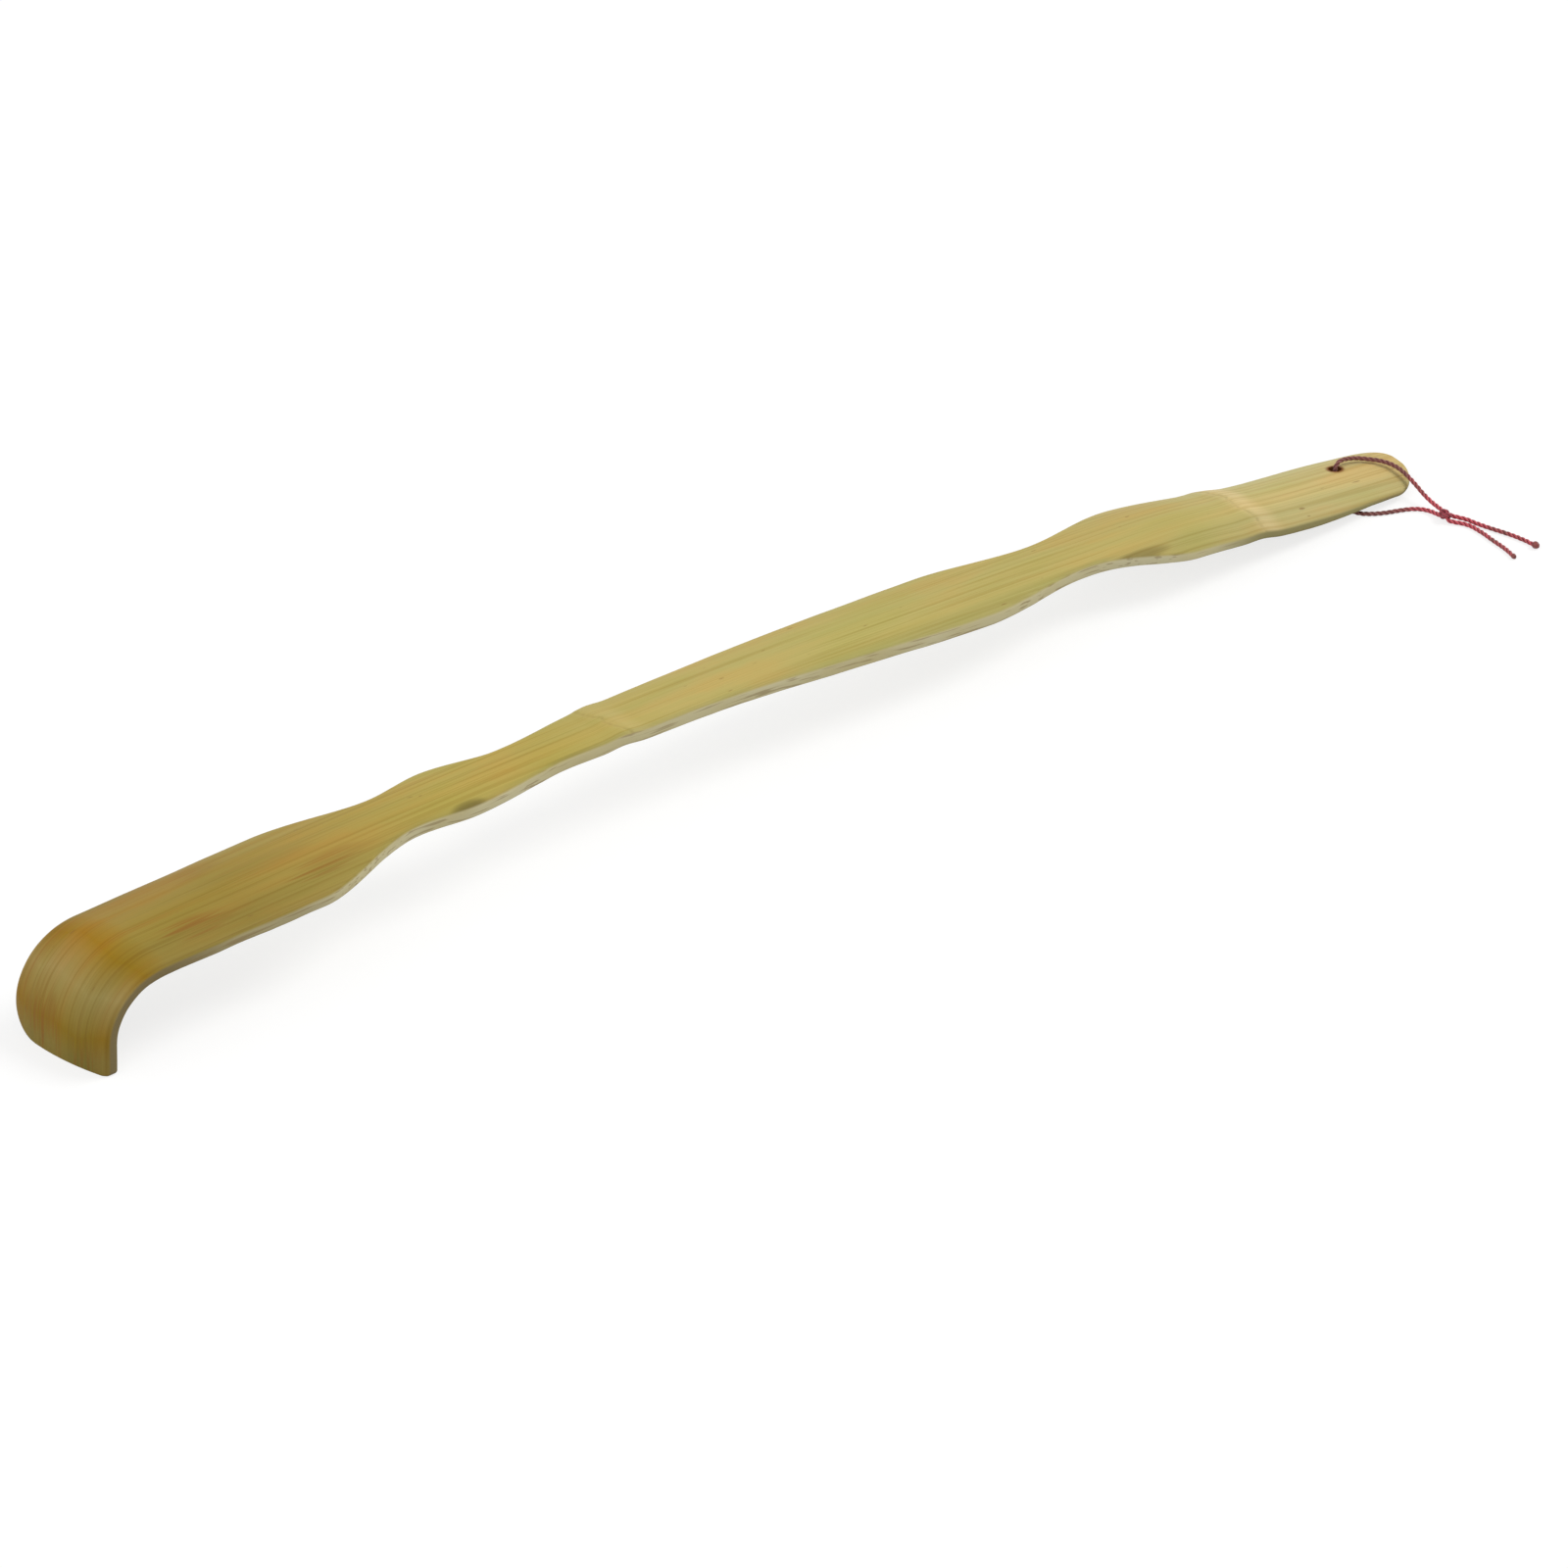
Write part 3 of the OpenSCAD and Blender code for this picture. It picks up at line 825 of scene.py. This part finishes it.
SHORT_TAIL = (
    (0.0152, -0.0351, 0.0011), (0.0165, -0.037, 0.0008), (0.0179, -0.0389, 0.0007),
    (0.0188, -0.0413, 0.0007), (0.0191, -0.0442, 0.0007), (0.0192, -0.0472, 0.0007),
    (0.0191, -0.0502, 0.0007), (0.0191, -0.0532, 0.0007), (0.0191, -0.0562, 0.0007),
    (0.0189, -0.0589, 0.0007), (0.0185, -0.0614, 0.0007),
)
KNOT_AT = (0.0155, -0.0334, 0.002)
KNOT_SIZE = 0.00056
KNOT_TURN = math.radians(20)
# How far above the table the lowest point of a piece of the cord stays
TABLE_GAP = 0.00002
ROUTE_STEPS = 8
PLY_STEP = 0.00025
PLY_SIDES = 8


def smooth_route(points, cyclic=False):
    """A finer list of points on one smooth curve through the given ones."""
    points = [Vector(p) for p in points]
    count = len(points)

    def at(i):
        return points[i % count] if cyclic else points[max(0, min(count - 1, i))]

    line = []
    for i in range(count if cyclic else count - 1):
        before, start, end, after = at(i - 1), at(i), at(i + 1), at(i + 2)
        for k in range(ROUTE_STEPS):
            t = k / ROUTE_STEPS
            line.append(0.5 * (2 * start + (end - before) * t
                               + (2 * before - 5 * start + 4 * end - after) * t ** 2
                               + (3 * start - before - 3 * end + after) * t ** 3))
    if not cyclic:
        line.append(points[-1])
    return line


def from_hole(points):
    """Points measured from the hang hole, moved to their place on the strip."""
    return [(HOLE[0] + x, HOLE[1] + y, z) for x, y, z in points]


def twisted_cord_tree():
    """A node tree that lays twisted plies along a curve."""
    tree = bpy.data.node_groups.new("twisted_cord", "GeometryNodeTree")
    for name, kind in (("Curve", "Geometry"), ("Diameter", "Float"), ("Plies", "Int"),
                       ("Lay length", "Float"), ("Material", "Material")):
        tree.interface.new_socket(name, in_out="INPUT", socket_type="NodeSocket" + kind)
    tree.interface.new_socket("Cord", in_out="OUTPUT", socket_type="NodeSocketGeometry")
    given = put(tree, "NodeGroupInput").outputs
    radius = calc(tree, "MULTIPLY", given["Diameter"], 0.5)
    spacing = calc(tree, "DIVIDE", math.pi, given["Plies"])
    # Neighbouring plies touch: ply radius / lay radius is the sine of half the angle between them
    sine = calc(tree, "SINE", spacing)
    lay_radius = calc(tree, "DIVIDE", radius, calc(tree, "ADD", sine, 1.0))
    ply_radius = calc(tree, "SUBTRACT", radius, lay_radius)

    line = put(tree, "GeometryNodeResampleCurve", {"Curve": given["Curve"], "Length": PLY_STEP},
               mode="LENGTH")
    copies = put(tree, "GeometryNodeDuplicateElements",
                 {"Geometry": line.outputs[0], "Amount": given["Plies"]}, domain="SPLINE")
    along = put(tree, "GeometryNodeSplineParameter").outputs["Length"]
    turns = calc(tree, "DIVIDE", along, given["Lay length"])
    start = calc(tree, "DIVIDE", copies.outputs["Duplicate Index"], given["Plies"])
    angle = calc(tree, "MULTIPLY", calc(tree, "ADD", turns, start), math.tau)
    normal = put(tree, "GeometryNodeInputNormal").outputs[0]
    tangent = put(tree, "GeometryNodeInputTangent").outputs[0]
    side = vector_calc(tree, "CROSS_PRODUCT", tangent, normal)
    out = vector_calc(
        tree, "ADD", scaled(tree, normal, calc(tree, "COSINE", angle)),
        scaled(tree, side, calc(tree, "SINE", angle)))
    kept = put(tree, "GeometryNodeCaptureAttribute", {"Geometry": copies.outputs[0]},
               domain="POINT")
    kept.capture_items.new("VECTOR", "Middle")
    kept.capture_items.new("VECTOR", "Lay")
    middle = put(tree, "GeometryNodeInputPosition").outputs[0]
    lay = put(tree, "ShaderNodeCombineXYZ", {0: along, 1: copies.outputs["Duplicate Index"]})
    feed(tree, kept, {"Middle": middle, "Lay": lay.outputs[0]})
    laid = put(tree, "GeometryNodeSetPosition",
               {"Geometry": kept.outputs[0], "Offset": scaled(tree, out, lay_radius)})
    ring = put(tree, "GeometryNodeCurvePrimitiveCircle",
               {"Resolution": PLY_SIDES, "Radius": ply_radius})
    tube = put(tree, "GeometryNodeCurveToMesh", {
        "Curve": laid.outputs[0], "Profile Curve": ring.outputs[0], "Fill Caps": True})
    position = put(tree, "GeometryNodeInputPosition").outputs[0]
    proud = put(tree, "ShaderNodeVectorMath", {0: position, 1: kept.outputs["Middle"]},
                operation="DISTANCE").outputs["Value"]
    marked = put(tree, "GeometryNodeStoreNamedAttribute", {
        "Geometry": tube.outputs[0], "Name": "proud",
        "Value": calc(tree, "DIVIDE", proud, radius)}, data_type="FLOAT", domain="POINT")
    laid_out = put(tree, "GeometryNodeStoreNamedAttribute",
                   {"Geometry": marked.outputs[0], "Name": "lay"},
                   data_type="FLOAT_VECTOR", domain="POINT")
    tree.links.new(kept.outputs["Lay"], laid_out.inputs["Value"])
    smooth = put(tree, "GeometryNodeSetShadeSmooth", {"Geometry": laid_out.outputs[0]})
    real = put(tree, "GeometryNodeRealizeInstances", {"Geometry": smooth.outputs[0]})
    dressed = put(tree, "GeometryNodeSetMaterial",
                  {"Geometry": real.outputs[0], "Material": given["Material"]})
    put(tree, "NodeGroupOutput", {0: dressed.outputs[0]})
    return tree


def twisted_cord(name, line, material, sizes, cyclic=False):
    """A mesh of twisted plies along a line."""
    curve = bpy.data.curves.new(name + "_line", "CURVE")
    curve.dimensions = "3D"
    spline = curve.splines.new("POLY")
    spline.points.add(len(line) - 1)
    for point, place in zip(spline.points, line):
        point.co = (*place, 1)
    spline.use_cyclic_u = cyclic
    guide = placed(name + "_line", curve)
    tree = bpy.data.node_groups.get("twisted_cord") or twisted_cord_tree()
    modifier = guide.modifiers.new("Plies", "NODES")
    modifier.node_group = tree
    values = {"Diameter": sizes.diameter, "Plies": sizes.plies,
              "Lay length": sizes.lay_length, "Material": material}
    for item in tree.interface.items_tree:
        if item.in_out == "INPUT" and item.name in values:
            modifier[item.identifier] = values[item.name]
    mesh = modified(guide)
    bpy.data.objects.remove(guide)
    if not mesh.polygons:
        raise RuntimeError(name + ": the plies came out empty")
    return placed(name, mesh)


# Colours of the cord by the distance along it from the hang hole
CORD_TONES = ((0, "worn"), (0.029, "worn"), (0.039, "red"), (0.058, "red"), (0.067, "worn"),
              (0.076, "red"))
# The knot keeps one darker red all along it, painted shade
KNOT_TONES = ((0, "knot_shade_red"), (0.08, "knot_shade_red"))
CORD_REACH = 0.08
FIBRE_RED = (0.66, 0.16, 0.18)
MELTED_DARK = (0.13, 0.024, 0.022)


def cord_material(name, tones, colours):
    """Red twisted cord, worn brown in places, with painted shade darkening the grooves between its
    plies.
    """
    material, tree, shader = new_material(name)
    proud = put(tree, "ShaderNodeAttribute", attribute_name="proud").outputs["Fac"]
    place = put(tree, "ShaderNodeTexCoord").outputs["Object"]
    lay = put(tree, "ShaderNodeAttribute", attribute_name="lay").outputs["Vector"]
    fibres = grain(tree, place, 5200, 2, 0.6)
    patches = grain(tree, place, 160, 2, 0.5)
    blurred = swayed(tree, parts(tree, lay)[0], patches, 0.03)
    stops = [(at / CORD_REACH, getattr(colours, tone)) for at, tone in tones]
    red = ramp(tree, calc(tree, "DIVIDE", blurred, CORD_REACH), stops)
    red = mix(tree, span(tree, fibres, 0.4, 0.7, 0, 0.3), red, opaque(FIBRE_RED))
    # Painted shade: the plies darken towards their grooves, by how far they stand from the cord's
    # middle
    red = mix(tree, span(tree, proud, 0.95, 0.55), red, opaque(colours.groove_shade_red))
    feed(tree, shader, {
        "Base Color": red, "Roughness": 0.55, "Sheen Weight": 0.25, "Sheen Roughness": 0.5,
        "Normal": bumped(tree, fibres, 0.4, 0.00005)})
    return material


def melted_material(colours):
    """Cord melted to a dark glossy drop."""
    material, tree, shader = new_material("melted_end")
    place = put(tree, "ShaderNodeTexCoord").outputs["Object"]
    clouds = grain(tree, place, 900, 3, 0.6)
    tone = mix(tree, span(tree, clouds, 0.35, 0.7), opaque(colours.melted), opaque(MELTED_DARK))
    feed(tree, shader, {
        "Base Color": tone, "Roughness": 0.3, "Normal": bumped(tree, clouds, 0.3, 0.0001)})
    return material


def melted_drop(name, centre, towards, radius, stretch, material):
    """A lumpy closed drop on the end of a tail."""
    shape = bmesh.new()
    bmesh.ops.create_icosphere(shape, subdivisions=4, radius=radius)
    turn = Vector(towards).to_track_quat("X", "Z").to_matrix().to_4x4()
    for point in shape.verts:
        lump = 1 + 0.10 * noise.noise(point.co / radius * 1.3 + Vector((3, 1, 7)))
        point.co *= lump
        point.co.x *= stretch
    bmesh.ops.transform(shape, matrix=Matrix.Translation(centre) @ turn, verts=shape.verts)
    for point in shape.verts:
        point.co.z = max(point.co.z, TABLE_GAP)
    return finished(name, shape, material)


def trefoil(centre, size, tilt):
    """Points of a tight closed overhand knot about a centre."""
    turn = Matrix.Rotation(tilt, 4, "Z") @ Matrix.Rotation(math.radians(62), 4, "Y")
    points, count = [], 48
    for i in range(count):
        t = math.tau * i / count
        wide = 2 + 0.85 * math.cos(3 * t)
        place = Vector((wide * math.cos(2 * t), wide * math.sin(2 * t), 1.15 * math.sin(3 * t)))
        points.append(Vector(centre) + turn @ (place * size))
    return points


# Operators


class SHOEHORN_OT_strip(bpy.types.Operator):
    """Makes the bent bamboo strip with its hang hole"""

    bl_idname = "shoehorn.make_strip"
    bl_label = "Bamboo strip"

    def execute(self, context):
        sizes = context.scene.shoehorn_strip
        material = bamboo_material(sizes)
        strip = finished("strip", StripShape(sizes).mesh(), material)
        bore = self.bore(sizes, material)
        cut = strip.modifiers.new("Hang hole", "BOOLEAN")
        cut.object = bore
        cut.solver = "EXACT"
        mesh = modified(strip)
        strip.modifiers.clear()
        strip.data = mesh
        bpy.data.objects.remove(bore)
        self.mark_bore(mesh, sizes)
        mesh.shade_smooth()
        mesh.set_sharp_from_angle(angle=math.radians(40))
        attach(strip, "strip")
        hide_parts("bamboo_strip")
        return {"FINISHED"}

    def bore(self, sizes, material):
        """The round cutter of the hang hole."""
        shape = bmesh.new()
        height = STRIP_HIGH.z
        bmesh.ops.create_cone(
            shape, cap_ends=True, segments=64, depth=2 * height,
            radius1=sizes.hole_diameter / 2, radius2=sizes.hole_diameter / 2)
        bmesh.ops.translate(shape, verts=shape.verts, vec=(*HOLE, 0))
        return finished("bore", shape, material)

    def mark_bore(self, mesh, sizes):
        """Writes the grain of the bore's own points, which the cutter didn't bring."""
        grain_data = mesh.attributes["grain"].data
        middle = Vector(HOLE)
        for point, entry in zip(mesh.vertices, grain_data):
            away = (point.co.xy - middle).length
            if abs(away - sizes.hole_diameter / 2) < 0.00002 and entry.vector.length < 0.01:
                entry.vector = (point.co.x - HOOK_X, point.co.y, sizes.tongue_wall / 2)


class SHOEHORN_OT_cord(bpy.types.Operator):
    """Makes the red hang cord with its overhand knot and melted ends"""

    bl_idname = "shoehorn.make_cord"
    bl_label = "Hang cord"

    def execute(self, context):
        sizes = context.scene.shoehorn_cord
        red = cord_material("red_cord", CORD_TONES, sizes)
        tight = cord_material("knot_cord", KNOT_TONES, sizes)
        melted = melted_material(sizes)
        routes = {"cord_over": UPPER_LEG + (KNOT_AT,) + LONG_TAIL,
                  "cord_under": LOWER_LEG + (KNOT_AT,) + SHORT_TAIL}
        lines = {name: smooth_route(from_hole(route)) for name, route in routes.items()}
        cords = {name: twisted_cord(name, line, red, sizes) for name, line in lines.items()}
        centre = from_hole((KNOT_AT,))[0]
        knot_line = smooth_route(trefoil(centre, KNOT_SIZE, KNOT_TURN), cyclic=True)
        knot = twisted_cord("knot", knot_line, tight, sizes, cyclic=True)
        for point in knot.data.vertices:
            point.co.z = max(point.co.z, TABLE_GAP)
        bead = self.drop("bead", lines["cord_over"], sizes.bead_diameter / 2, 1.15, melted)
        tip = self.drop("sealed_tip", lines["cord_under"], sizes.diameter * 0.56, 1.3, melted)
        pieces = {"cord_over": ("cord_upper_leg", "cord_long_tail"),
                  "cord_under": ("cord_lower_leg", "cord_short_tail")}
        for name, nodes in pieces.items():
            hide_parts(*nodes)
        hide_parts("cord_knot")
        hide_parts("cord_bead")
        for piece in (*cords.values(), knot, bead, tip):
            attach(piece, "loop")
        return {"FINISHED"}

    def drop(self, name, line, radius, stretch, material):
        """A melted drop on the far end of a line."""
        towards = line[-1] - line[-4]
        centre = line[-1] + towards.normalized() * radius * 0.5
        centre.z = max(centre.z, radius * 0.97)
        return melted_drop(name, centre, towards, radius, stretch, material)


# Where each lamp stands as seen from the object, how wide it looks in degrees, and its colour
KEY_LAMP = ((0.60, -0.25, 0.76), 28, (1.0, 0.985, 0.95))
FILL_LAMP = ((-0.80, -0.10, 0.60), 60, (0.97, 0.99, 1.0))
# Colour of the floor by which it lights the underside, and its darker colour and its glow where
# it is seen directly, which together are white with a faint shadow
FLOOR_TONE = (0.62, 0.62, 0.62)
FLOOR_SEEN = (0.28, 0.28, 0.28)
FLOOR_GLOW = 0.76
FLOOR_HALF = 40
# What the camera looks at: a point on the table, moved down and to the left in the view
AIM = Vector((0.023, 0, 0))
AIM_DOWN = 0.01493
AIM_LEFT = 0.0009


class SHOEHORN_OT_stage(bpy.types.Operator):
    """Makes the pale floor, the soft light and the camera"""

    bl_idname = "shoehorn.make_stage"
    bl_label = "Stage"

    def execute(self, context):
        scene = context.scene
        settings = scene.shoehorn_stage
        self.floor()
        self.world(scene, settings)
        self.sun("key", settings.key, *KEY_LAMP)
        self.sun("fill", settings.fill, *FILL_LAMP)
        self.camera(scene, settings)
        scene.view_settings.view_transform = "Standard"
        return {"FINISHED"}

    def seen_directly(self, tree):
        """1 for a ray that should meet the white background: camera, glossy or glass."""
        rays = put(tree, "ShaderNodeLightPath").outputs
        seen = calc(tree, "MAXIMUM", rays["Is Camera Ray"], rays["Is Glossy Ray"])
        return calc(tree, "MAXIMUM", seen, rays["Is Transmission Ray"])

    def floor(self):
        """A wide pale floor that keeps a soft shadow and can be looked through from below."""
        shape = bmesh.new()
        bmesh.ops.create_grid(shape, x_segments=1, y_segments=1, size=FLOOR_HALF)
        material, tree, shader = new_material("pale_floor")
        seen = self.seen_directly(tree)
        tone = mix(tree, seen, opaque(FLOOR_TONE), opaque(FLOOR_SEEN))
        glow = calc(tree, "MULTIPLY", seen, FLOOR_GLOW)
        feed(tree, shader, {
            "Base Color": tone, "Roughness": 0.9, "Specular IOR Level": 0.0,
            "Emission Color": (1, 1, 1, 1), "Emission Strength": glow})
        clear = put(tree, "ShaderNodeBsdfTransparent")
        back = put(tree, "ShaderNodeNewGeometry").outputs["Backfacing"]
        both = put(tree, "ShaderNodeMixShader", {0: back, 1: shader.outputs[0], 2: clear.outputs[0]})
        output = next(n for n in tree.nodes if n.type == "OUTPUT_MATERIAL")
        tree.links.new(both.outputs[0], output.inputs["Surface"])
        floor = finished("floor", shape, material)

    def world(self, scene, settings):
        """Even light from all round, with a white background."""
        world = bpy.data.worlds.new("studio")
        world.use_nodes = True
        tree = world.node_tree
        tree.nodes.clear()
        seen = self.seen_directly(tree)
        strength = mix_value(tree, seen, settings.sky, 1.0)
        back = put(tree, "ShaderNodeBackground", {"Color": (1, 1, 1, 1), "Strength": strength})
        put(tree, "ShaderNodeOutputWorld", {0: back.outputs[0]})
        scene.world = world

    def sun(self, name, strength, towards, spread, colour):
        """A soft sun that shines from the given direction."""
        lamp = bpy.data.lights.new(name, "SUN")
        lamp.energy = strength
        lamp.angle = math.radians(spread)
        lamp.color = colour
        placed(name, lamp).rotation_euler = Vector(towards).to_track_quat("Z", "Y").to_euler()

    def camera(self, scene, settings):
        """A long lens that looks at a point just in front of the strip's middle."""
        yaw, rise = settings.yaw, settings.elevation
        right = Vector((math.cos(yaw), -math.sin(yaw), 0))
        ahead = Vector((math.sin(yaw) * math.cos(rise), math.cos(yaw) * math.cos(rise),
                        -math.sin(rise)))
        up = right.cross(ahead)
        lens = bpy.data.cameras.new("camera")
        lens.lens = settings.lens
        distance = settings.view_width * settings.lens / lens.sensor_width
        lens.clip_end = 2 * distance + 5
        target = AIM - up * AIM_DOWN - right * AIM_LEFT
        camera = placed("camera", lens)
        turn = Matrix((right, up, -ahead)).transposed().to_4x4()
        camera.matrix_world = Matrix.Translation(target - ahead * distance) @ turn
        scene.camera = camera


class SHOEHORN_PT_panel(bpy.types.Panel):
    """The shoehorn's sizes, colours and pieces"""

    bl_idname = "SHOEHORN_PT_panel"
    bl_label = "Shoehorn"
    bl_space_type = "VIEW_3D"
    bl_region_type = "UI"
    bl_category = "Shoehorn"

    def draw(self, context):
        layout = self.layout
        for heading, settings, operator in (
                ("Strip", context.scene.shoehorn_strip, SHOEHORN_OT_strip),
                ("Cord", context.scene.shoehorn_cord, SHOEHORN_OT_cord),
                ("Stage", context.scene.shoehorn_stage, SHOEHORN_OT_stage)):
            box = layout.box()
            box.label(text=heading)
            for name in settings.__annotations__:
                box.prop(settings, name)
            box.operator(operator.bl_idname)


CLASSES = (StripSettings, CordSettings, StageSettings, SHOEHORN_OT_strip, SHOEHORN_OT_cord,
           SHOEHORN_OT_stage, SHOEHORN_PT_panel)


def register():
    """Adds the classes and their settings to the scene."""
    for made in CLASSES:
        bpy.utils.register_class(made)
    bpy.types.Scene.shoehorn_strip = PointerProperty(type=StripSettings)
    bpy.types.Scene.shoehorn_cord = PointerProperty(type=CordSettings)
    bpy.types.Scene.shoehorn_stage = PointerProperty(type=StageSettings)


def unregister():
    """Takes the classes and their settings away again."""
    del bpy.types.Scene.shoehorn_stage
    del bpy.types.Scene.shoehorn_cord
    del bpy.types.Scene.shoehorn_strip
    for made in reversed(CLASSES):
        bpy.utils.unregister_class(made)


def main():
    """Makes every piece."""
    register()
    bpy.ops.shoehorn.make_stage()
    bpy.ops.shoehorn.make_cord()
    bpy.ops.shoehorn.make_strip()


if __name__ == "__main__":
    main()
